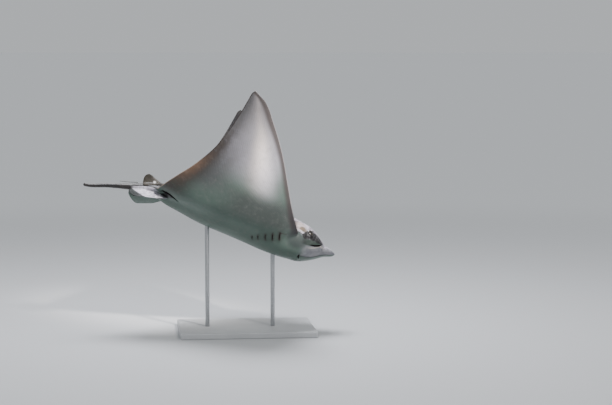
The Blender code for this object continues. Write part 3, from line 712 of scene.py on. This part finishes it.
def head_marks(points, back):
    """Bill, cheek, dark patch with painted shade below it, and the darkening round gills and folds, painted
    shade in the folds.
    """
    x, y, z = points.T
    fold, keel, middle = fold_line(x), keel_line(x), patch_middle(x)
    ahead = 1 - smooth(0.085, 0.122, x)
    bill = smooth(-0.0012, 0.0012, z - keel) * smooth(0.0015, -0.001, z - fold) * ahead
    patch = np.abs(z - middle) / patch_reach(x) + 0.1 * np.sin(x * 260 + 1.7 * np.sin(y * 190)) + 0.05
    # painted shade: the dark patch reaches, weaker, down to the fold below it
    under = smooth(fold - 0.002, fold + 0.003, z) * (z < middle) * smooth(0.044, 0.052, x)
    patch = np.maximum(1 - smooth(0.75, 1.25, patch), 0.6 * under * smooth(0.118, 0.106, x))
    lip = bump(z, fold - 0.006, 0.0022) * smooth(0.098, 0.075, x) * smooth(0.034, 0.046, x)
    # painted shade in the crease behind the cheek, where the wing's front edge meets the head
    crease_shade_and_gill_dark = bump(x, cheek_crease_shade(z), 0.0042) * smooth(-0.004, 0.004, z) * smooth(0.058, 0.046, z)
    crease_shade_and_gill_dark = 0.8 * crease_shade_and_gill_dark * smooth(0.042, 0.052, y)
    for k, slit in enumerate(GILL_SLITS):
        gap, _ = gill_gap(x, y, slit)
        crease_shade_and_gill_dark += (bump(gap, 0, 0.003) + 0.35 * bump(gap, 0, 0.0085)) * (z < 0) * (1 - 0.13 * k)
    # painted shade along the crease beside the gill slits
    crease = bump(y, 0.096 - 0.1 * (0.1868 - x), 0.0016) * (z < 0)
    crease_shade_and_gill_dark += 0.6 * crease * smooth(0.162, 0.17, x) * smooth(0.19, 0.185, x)
    return dict(
        head=1 - smooth(0.14, 0.185, x + 0.35 * np.maximum(y - 0.085, 0)),
        bill=bill, keel=bump(z, keel, 0.0013) * ahead * smooth(0.008, 0.03, x),
        lip=lip * smooth(0.025, 0.035, y), patch=patch * smooth(0.034, 0.044, y),
        jowl=blob(points, (0.132, 0.08, -0.014), (0.042, 0.06, 0.032)) * (1 - back),
        # partly pale skin, partly painted highlight: the pink cheek behind the eye
        cheek=blob(points, (0.136, 0.066, 0.037), (0.026, 0.05, 0.025)),
        ochre=blob(points, (0.12, 0.075, 0.0265), (0.017, 0.05, 0.012)),
        crease_shade_and_gill_dark=np.clip(crease_shade_and_gill_dark, 0, 1))


def mark_skin(mesh, whole):
    """Give the skin the marks its paint reads; returns its points in rest shape."""
    p, normal = vectors(mesh.vertices), vectors(mesh.vertex_normals, "vector")
    points = np.stack([p[:, 0], np.abs(p[:, 1]), p[:, 2]], -1)
    x, y, z = points.T
    near = [whole.find_nearest(Vector(point)) for point in p]
    above = np.array([(Vector(point) - foot).dot(away) for point, (foot, away, _, _) in zip(p, near)])
    fin = smooth(0.0003, 0.002, above) * (x > 0.51)
    pelvic = np.maximum(fin * (z < 0.004), blob(points, (0.586, 0.042, -0.016), (0.024, 0.035, 0.018)))
    # The back's colour ends along the rim, and low on the side of the head.
    wobble = np.sin(x * 310 + 1.7 * np.sin(y * 190)) + np.sin(x * 730 + y * 410)
    blur = 0.0002 + 0.005 * smooth(0.15, 0.125, x)
    back = smooth(-blur, blur, z - back_line(x) - wobble * 0.0004 * smooth(0.14, 0.1, x))
    back = np.maximum(back, smooth(0.605, 0.645, x))
    droop = np.radians(np.where(p[:, 1] > 0, PELVIC_DROOP["left"], PELVIC_DROOP["right"]))
    outward = np.sign(p[:, 1]) * normal[:, 1] * np.sin(droop) + normal[:, 2] * np.cos(droop)
    back = np.where(pelvic > 0, smooth(-0.25, 0.25, outward), back)
    marks = {**disc_marks(x, y, z, fin), **tail_marks(points, fin, pelvic), **head_marks(points, back)}
    # painted shade under the pectoral fin's rear corner, in front of the pelvic fin
    fin_foot_shade = np.maximum(blob(points, (0.541, 0.048, -0.006), (0.023, 0.016, 0.014)),
                          0.9 * blob(points, (0.552, 0.034, -0.0108), (0.019, 0.02, 0.0075)))
    marks.update(rest=p * DISC_WIDTH, deep=np.clip(-above * DISC_WIDTH, 0, 1),
                 back=np.maximum(back, marks["flank"]), flank=marks["flank"] * (fin < 0.5),
                 pocket=np.maximum(marks["pocket"], fin_foot_shade))
    for name, values in marks.items():
        add_attribute(mesh, name, values)
    return p


def bend_mesh(mesh, p):
    """Bend a mesh into the pose, smooth but for its sharp edges."""
    mesh.vertices.foreach_set("co", place(*p.T).astype(np.float32).ravel())
    mesh.update()
    mesh.shade_smooth()
    mesh.set_sharp_from_angle(angle=math.radians(SHARP_ANGLE))


# ---- materials

class Paint:
    """Short way to write a material's nodes."""

    def __init__(self, name, **constants):
        self.material = bpy.data.materials.new(name)
        self.material.use_nodes = True
        self.nodes, self.links = self.material.node_tree.nodes, self.material.node_tree.links
        self.shader = self.nodes["Principled BSDF"]
        for socket, value in constants.items():
            self.shader.inputs[socket.replace("_", " ")].default_value = value

    def node(self, kind, inputs=(), **settings):
        made = self.nodes.new("ShaderNode" + kind)
        for key, value in settings.items():
            setattr(made, key, value)
        for key, value in (inputs.items() if isinstance(inputs, dict) else enumerate(inputs)):
            if isinstance(value, bpy.types.NodeSocket):
                self.links.new(value, made.inputs[key])
            elif value is not None:
                made.inputs[key].default_value = value
        return made

    def attribute(self, name, output="Fac"):
        return self.node("Attribute", attribute_name=name).outputs[output]

    def math(self, operation, *values):
        return self.node("Math", values, operation=operation).outputs[0]

    def times(self, a, b):
        return self.math("MULTIPLY", a, b)

    def vector(self, operation, *values):
        return self.node("VectorMath", values, operation=operation).outputs[0]

    def noise(self, where, scale, detail=2, roughness=0.5):
        return self.node("TexNoise", {"Vector": where, "Scale": scale, "Detail": detail,
                                      "Roughness": roughness}).outputs[0]

    def between(self, value, start, end, low=0, high=1):
        """Smooth step of value from low at start to high at end."""
        return self.node("MapRange", [value, start, end, low, high],
                         interpolation_type="SMOOTHSTEP").outputs[0]

    def mix(self, share, a, b):
        a, b = ((*c, 1) if isinstance(c, tuple) else c for c in (a, b))
        return self.node("Mix", {0: share, 6: a, 7: b}, data_type="RGBA").outputs[2]

    def varied(self, value, start, end, a, b):
        """Colour a where value is below start, b where it is above end."""
        return self.mix(self.between(value, start, end), a, b)

    def bump(self, height, distance, normal=None):
        return self.node("Bump", {"Distance": distance, "Height": height, "Normal": normal}).outputs[0]

    def set(self, **links):
        for socket, value in links.items():
            self.links.new(value, self.shader.inputs[socket.replace("_", " ")])
        return self.material


class SkinPaint(Paint):
    """Wet skin: colours laid over one another by the skin's marks."""

    def __init__(self):
        super().__init__("wet ray skin", IOR=1.38, Coat_Weight=0.08, Coat_Roughness=0.22,
                         Specular_IOR_Level=0.3)
        self.rest = self.attribute("rest", "Vector")
        self.along = self.node("SeparateXYZ", [self.rest]).outputs[0]
        self.across = self.node("SeparateXYZ", [self.vector("ABSOLUTE", self.rest)]).outputs[1]
        self.broad = self.noise(self.rest, 9, 3)
        self.mottle = self.noise(self.rest, 55, 4, 0.6)

    def lay(self, colour, *layers):
        """Tints laid over a colour in turn, each where its mark, or share of it, is 1."""
        for mark, tint, *share in layers:
            mark = self.attribute(mark) if isinstance(mark, str) else mark
            colour = self.mix(self.times(mark, *share) if share else mark, colour, tint)
        return colour

    def spots(self):
        """Pale spots of the back, and smaller ones on the head."""
        cloud = self.node("TexNoise", {"Vector": self.rest, "Scale": 40}).outputs[1]
        warp = self.vector("MULTIPLY_ADD", cloud, (0.012, 0.012, 0.012), self.rest)
        both = []
        for scale, radius, dimensions in ((33, 0.195, "2D"), (62, 0.24, "3D")):
            cell = self.node("TexVoronoi", {"Vector": warp, "Scale": scale, "Randomness": 0.85},
                             voronoi_dimensions=dimensions)
            chance = self.node("SeparateColor", [cell.outputs["Color"]]).outputs[0]
            size = self.math("MULTIPLY_ADD", chance, 0.2, radius - 0.1)
            both.append(self.between(self.math("SUBTRACT", size, cell.outputs["Distance"]), -0.02, 0.03))
        small = self.times(both[1], self.between(self.along, 0.075, 0.1))
        head = self.attribute("head")
        large = self.times(both[0], self.math("SUBTRACT", 1, head))
        return self.math("ADD", self.times(small, head), large)

    def back(self):
        """Slate brown with pale spots; crown, pelvic fins and tail top are paler, a painted highlight of
        light from above.
        """
        spots = self.spots()
        slate = self.varied(self.broad, 0.35, 0.65, (0.03, 0.029, 0.032), (0.05, 0.045, 0.043))
        clear = self.times(self.between(self.attribute("rear_margin"), 0.022, 0.045),
                           self.between(self.along, 0.65, 0.625))
        dorsal = self.varied(self.mottle, 0.35, 0.65, (0.046, 0.041, 0.033), (0.082, 0.073, 0.06))
        # painted highlight: crown and pelvic fins laid pale lavender for the glare of light from above on
        # the dark skin
        crown = self.varied(self.mottle, 0.36, 0.58, (0.28, 0.255, 0.295), (0.62, 0.58, 0.65))
        fin = self.varied(self.mottle, 0.4, 0.58, (0.42, 0.4, 0.45), (0.74, 0.72, 0.78))
        pale = self.math("MAXIMUM", self.attribute("pelvic"), self.attribute("flank"))
        return self.lay(
            slate, (self.between(self.mottle, 0.45, 0.75, 0, 0.5), (0.08, 0.074, 0.07)),
            (self.times(spots, clear), (0.64, 0.63, 0.61), 0.9), ("dorsal", dorsal),
            # painted highlight: the tail's top laid lighter
            ("tail_top_highlight", (0.17, 0.165, 0.16), 0.8), ("white_spot", (0.8, 0.79, 0.78)),
            # painted highlight on the crown, the pelvic fins and the tail root's side
            ("head", self.lay(crown, (spots, (0.86, 0.84, 0.87), 0.7)), 0.85), (pale, fin),
            ("fin_rear", (0.03, 0.034, 0.032)))

    def belly(self):
        """White in life, laid in painted shade: green-grey on the belly, grey on the wing and bill, darker
        under the cheek; a pale painted highlight band along the wing, and a brown rear.
        """
        # painted shade: the underside, white in life, laid green-grey on the belly and grey on the wing
        shade = self.varied(self.broad, 0.35, 0.7, (0.104, 0.148, 0.124), (0.083, 0.122, 0.101))
        wing = self.varied(self.broad, 0.35, 0.7, (0.34, 0.332, 0.365), (0.275, 0.268, 0.295))
        # painted highlight: the pale band along the wing
        painted_highlight_band = self.varied(self.along, 0.3, 0.44, (0.86, 0.82, 0.87), (0.9, 0.79, 0.72))
        bill = self.varied(self.mottle, 0.35, 0.65, (0.165, 0.165, 0.185), (0.245, 0.24, 0.26))
        edge = self.math("MULTIPLY_ADD", self.attribute("outer"), -0.009, self.attribute("front_margin"))
        return self.lay(
            wing, ("belly", shade), ("painted_highlight_band", painted_highlight_band), ("outer", (0.14, 0.128, 0.122), 0.65),
            # painted shade low on the wing near its root
            ("painted_root_shade", (0.06, 0.064, 0.062), 0.75),
            ("grey", (0.078, 0.077, 0.08), self.between(self.mottle, 0.2, 0.7, 0.8, 1)),
            ("brown", (0.042, 0.034, 0.029), self.between(self.mottle, 0.25, 0.65, 0.7, 1)),
            ("rust", (0.185, 0.11, 0.072), self.between(self.mottle, 0.25, 0.65, 0.55, 0.9)),
            (self.between(self.mottle, 0.45, 0.8, 0, 0.25), (0.2, 0.19, 0.18)),
            # painted shade: a dark strip just inside the leading edge
            (self.between(edge, 0.026, 0.006, 0, 0.95), (0.066, 0.057, 0.055)),
            ("bill", bill, 0.9), ("jowl", (0.052, 0.06, 0.06), 0.75))

    def details(self, colour):
        """Marks of the head, folds and gills, rims of the wings, inside of openings; painted highlight on
        the pink cheek and the pale rims, painted shade in the pocket, the folds, the dark rim by the wing
        root and inside the openings.
        """
        cheek = self.varied(self.mottle, 0.4, 0.62, (0.44, 0.375, 0.37), (0.3, 0.255, 0.245))
        patch = self.varied(self.mottle, 0.42, 0.66, (0.013, 0.012, 0.013), (0.036, 0.036, 0.034))
        fine = self.between(self.noise(self.rest, 130, 4, 0.6), 0.36, 0.54, 0.88, 1)
        # painted highlight: pale rim on the trailing edge near the root; further out the dark rim is the
        # wing's dusky margin
        rear_rim = self.varied(self.across, 0.25, 0.31, (0.38, 0.29, 0.22), (0.035, 0.026, 0.022))
        # painted shade: dark rim on the leading edge by the root; painted highlight: pale rim further out
        front_rim = self.varied(self.across, 0.15, 0.26, (0.03, 0.026, 0.025), (0.3, 0.28, 0.28))
        return self.lay(
            # painted highlight in the pink cheek; painted shade in the patch's lower reach
            colour, ("cheek", cheek), ("ochre", (0.135, 0.1, 0.058), 0.85), ("patch", patch, fine),
            ("keel", (0.035, 0.032, 0.03), 0.75), ("lip", (0.5, 0.45, 0.4), 0.7),
            # painted shade in the pocket and in the folds and creases
            ("pocket", (0.02, 0.018, 0.02)), ("crease_shade_and_gill_dark", (0.05, 0.04, 0.036)),
            (self.between(self.attribute("rear_margin"), 0.003, 0.0012), rear_rim),
            (self.between(self.attribute("front_margin"), 0.0014, 0.0005), front_rim),
            # painted shade inside the openings, darker the deeper
            (self.between(self.attribute("deep"), 0.001, 0.004), (0.022, 0.014, 0.014)))

    def texture(self):
        """Fin rays, pores and the fine grain of the skin."""
        ray = self.math("MULTIPLY_ADD", self.mottle, 1.2, self.attribute("ray"))
        ribs = self.math("SINE", self.times(ray, 2 * math.pi))
        normal = self.bump(self.times(ribs, self.between(self.across, 0.13, 0.22)), 0.0001)
        normal = self.bump(self.mottle, 0.001, normal)
        return self.bump(self.noise(self.rest, 900, 2), 0.0001, normal)

    def finish(self):
        back = self.attribute("back")
        colour = self.details(self.mix(back, self.belly(), self.back()))
        gloss = self.math("MULTIPLY_ADD", self.mottle, 0.16, self.between(back, 0, 1, 0.4, 0.28))
        return self.set(Base_Color=colour, Roughness=gloss, Normal=self.texture())


def eye_paint():
    """Dark brown iris with fine fibres round a wide pupil, under a wet cornea."""
    paint = Paint("eye", Coat_Weight=1, Coat_Roughness=0.03, IOR=1.38)
    ahead, above, _ = paint.node("SeparateXYZ", [paint.attribute("eye", "Vector")]).outputs
    ring, wide = (paint.math("SQRT", paint.math("MULTIPLY_ADD", a, a, paint.times(above, above)))
                  for a in (ahead, paint.times(ahead, 0.78)))
    turn = paint.math("ARCTAN2", above, ahead)
    circle = paint.node("CombineXYZ", [paint.math("SINE", turn), paint.math("COSINE", turn), ring])
    fibres = paint.noise(circle.outputs[0], 9, 3)
    iris = paint.varied(fibres, 0.35, 0.7, (0.02, 0.014, 0.01), (0.075, 0.052, 0.032))
    iris = paint.mix(paint.between(ring, 0.4, 0.58), iris, (0.02, 0.016, 0.014))
    pupil = paint.between(wide, 0.275, 0.235)
    return paint.set(Base_Color=paint.mix(pupil, iris, (0.004, 0.004, 0.005)),
                     Roughness=paint.between(fibres, 0.3, 0.7, 0.1, 0.22),
                     Normal=paint.bump(fibres, 0.0001))


def grained_paint(paint, where, stretch, detail, spread, dark, pale, gloss, depth):
    """Colour, roughness and relief that follow one stretched grain."""
    grain = paint.noise(paint.vector("MULTIPLY", where, stretch), 1, detail)
    return paint.set(Base_Color=paint.varied(grain, *spread, dark, pale), Normal=paint.bump(grain, depth),
                     Roughness=paint.between(grain, 0.3, 0.7, *gloss))


def spine_paint():
    paint = Paint("tail spine", IOR=1.5)
    return grained_paint(paint, paint.attribute("rest", "Vector"), (90, 1400, 1400), 3, (0.35, 0.65),
                         (0.03, 0.025, 0.021), (0.085, 0.072, 0.058), (0.28, 0.45), 0.0002)


def rod_paint():
    """Turned and polished steel."""
    paint = Paint("steel rod", Metallic=1)
    return grained_paint(paint, paint.node("TexCoord").outputs["Object"], (60, 60, 2600), 2, (0.3, 0.7),
                         (0.36, 0.37, 0.38), (0.46, 0.47, 0.48), (0.26, 0.4), 0.00005)


def board_paint():
    paint = Paint("painted board", IOR=1.5)
    where = paint.node("TexCoord").outputs["Object"]
    peel = paint.noise(where, 420, 3)
    cloud = paint.noise(where, 6, 3)
    colour = paint.varied(cloud, 0.35, 0.65, (0.52, 0.53, 0.54), (0.58, 0.59, 0.6))
    rough = paint.math("MULTIPLY_ADD", peel, 0.12, 0.4)
    return paint.set(Base_Color=colour, Roughness=rough, Normal=paint.bump(peel, 0.0002))


def floor_paint():
    """Seamless pale floor, painted lighter with distance as painted light, so that it fades into the room's
    own brightness.
    """
    paint = Paint("pale floor", Roughness=0.85)
    where = paint.node("TexCoord").outputs["Object"]
    far = paint.node("VectorMath", [where], operation="LENGTH").outputs[1]
    colour = paint.varied(far, 1, 6, (0.62, 0.63, 0.64), (0.97, 0.98, 0.99))
    return paint.set(Base_Color=colour, Normal=paint.bump(paint.noise(where, 300), 0.0004))


# ---- build

def finish_piece(item, material, slot, *nodes):
    """A piece's material and the CAD nodes it stands for; slot is not used."""
    item.data.materials.clear()
    item.data.materials.append(material)
    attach(item, "root")
    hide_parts(*nodes)


def make_eye(name, side, material):
    """Globe that knows how far ahead, above and outward each point lies."""
    centre, away = np.array(EYE) * (1, side, 1), EYE_AXIS * (1, side, 1)
    mesh = make_mesh(name, *ball_shell(centre, EYE_RADIUS))
    p = vectors(mesh.vertices)
    ahead = np.array((-1, 0, 0)) + away * away[0]
    ahead /= np.linalg.norm(ahead)
    axes = np.stack([ahead, np.cross(away, ahead) * side, away], 1)
    add_attribute(mesh, "eye", (p - centre) / EYE_RADIUS @ axes)
    bend_mesh(mesh, p)
    finish_piece(new_object(name, mesh), material, "eye", name.replace("globe", "eye"))


def make_spine(material):
    """Flat grooved spine with a row of forward barbs along each edge."""
    along = np.linspace(0, 1, 161)[:, None]
    across = np.linspace(-1, 1, 17)[None, :]
    x = SPINE_FRONT + (SPINE_REAR - SPINE_FRONT) * along
    saw = (along * BARBS) % 1
    barb = BARB_WIDTH * (1 - saw) * smooth(0.18, 0.35, along) * smooth(1, 0.93, along)
    width = SPINE_WIDTH * np.sqrt(1 - along**2) + 0.0002 + barb
    middle = body_top(x) + SPINE_CLEARANCE + SPINE_LIFT * along**0.8
    groove = 0.00018 * bump(across, 0, 0.22)
    half = SPINE_THICKNESS * (1 - 0.5 * along) * np.sqrt(1 - 0.9 * across**2)
    sheets = [np.stack([x + 0 * across, width * across, middle + s * (half - groove)], -1) for s in (1, -1)]
    mesh = shell_mesh("spine", *shut(*sheets))
    p = vectors(mesh.vertices)
    add_attribute(mesh, "rest", p * DISC_WIDTH)
    bend_mesh(mesh, p)
    finish_piece(new_object("spine", mesh), material, "spine", "tail_spine")


skin, whole = make_skin()
bend_mesh(skin.data, mark_skin(skin.data, whole))
finish_piece(skin, SkinPaint().finish(), "skin", "head", "rostral_lobe", "trunk", "wing_left", "wing_right",
             "pelvic_fin_left", "pelvic_fin_right", "dorsal_fin", "tail_base", "tail")
eye = eye_paint()
make_eye("globe_left", 1, eye)
make_eye("globe_right", -1, eye)
make_spine(spine_paint())
board, steel = board_paint(), rod_paint()
for node, material in ("stand_base", board), ("stand_rod_front", steel), ("stand_rod_rear", steel):
    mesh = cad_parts[node].data
    mesh.materials.clear()
    mesh.materials.append(material)


# ---- studio

def make_floor():
    corners = np.array([(-1, -1, 0), (1, -1, 0), (1, 1, 0), (-1, 1, 0)]) * FLOOR_REACH
    mesh = make_mesh("floor", corners, np.array([(0, 1, 2, 3)]))
    mesh.materials.append(floor_paint())
    floor = new_object("floor", mesh)


def add_light(name, kind, place_at, target, size, power, cone, colour):
    """Softbox (AREA) or spot (SPOT) aimed at a point; cone is how wide it shines, in degrees."""
    lamp = bpy.data.lights.new(name, kind)
    lamp.energy, lamp.color = power, colour
    if kind == "AREA":
        lamp.shape, lamp.size, lamp.spread = "DISK", size, math.radians(cone)
    else:
        lamp.spot_size, lamp.spot_blend, lamp.shadow_soft_size = math.radians(cone), 1, size
    item = new_object(name, lamp)
    item.location = place_at
    item.rotation_euler = (Vector(target) - Vector(place_at)).to_track_quat("-Z", "Y").to_euler()


def set_camera():
    """Camera a little to the right of broadside and a little above the ray's middle."""
    turn, tilt = math.radians(CAMERA_TURN), math.radians(CAMERA_TILT)
    right = Vector((math.cos(turn), -math.sin(turn), 0))
    look = Vector((math.sin(turn) * math.cos(tilt), math.cos(turn) * math.cos(tilt), -math.sin(tilt)))
    up = right.cross(look)
    lens = bpy.data.cameras.new("camera")
    lens.sensor_width, lens.lens = 36, CAMERA_LENS
    camera = new_object("camera", lens)
    to_snout = CAMERA_ASIDE * right + CAMERA_ABOVE * up + CAMERA_DISTANCE * look
    camera.location = Vector(SNOUT_TIP) - DISC_WIDTH * to_snout
    camera.rotation_euler = look.to_track_quat("-Z", "Y").to_euler()
    bpy.context.scene.camera = camera


make_floor()
add_light("key", "AREA", (1.1, -2.5, 2.9), (-0.05, 0, 0.5), 1.2, 12, 120, (1, 0.97, 0.95))
add_light("wing_light", "SPOT", (1.3, -2.6, 2.4), place(0.285, -0.285, 0), 0.15, 1250, 11.8,
          (1, 0.95, 0.93))
add_light("top", "AREA", (-0.1, 0.6, 3.4), (-0.05, 0, 0.5), 1.4, 60, 120, (0.93, 0.94, 1))
world = bpy.context.scene.world = bpy.data.worlds.new("studio")
world.use_nodes = True
shade = world.node_tree.nodes["Background"]
shade.inputs[0].default_value, shade.inputs[1].default_value = (0.82, 0.85, 0.88, 1), 0.62
set_camera()
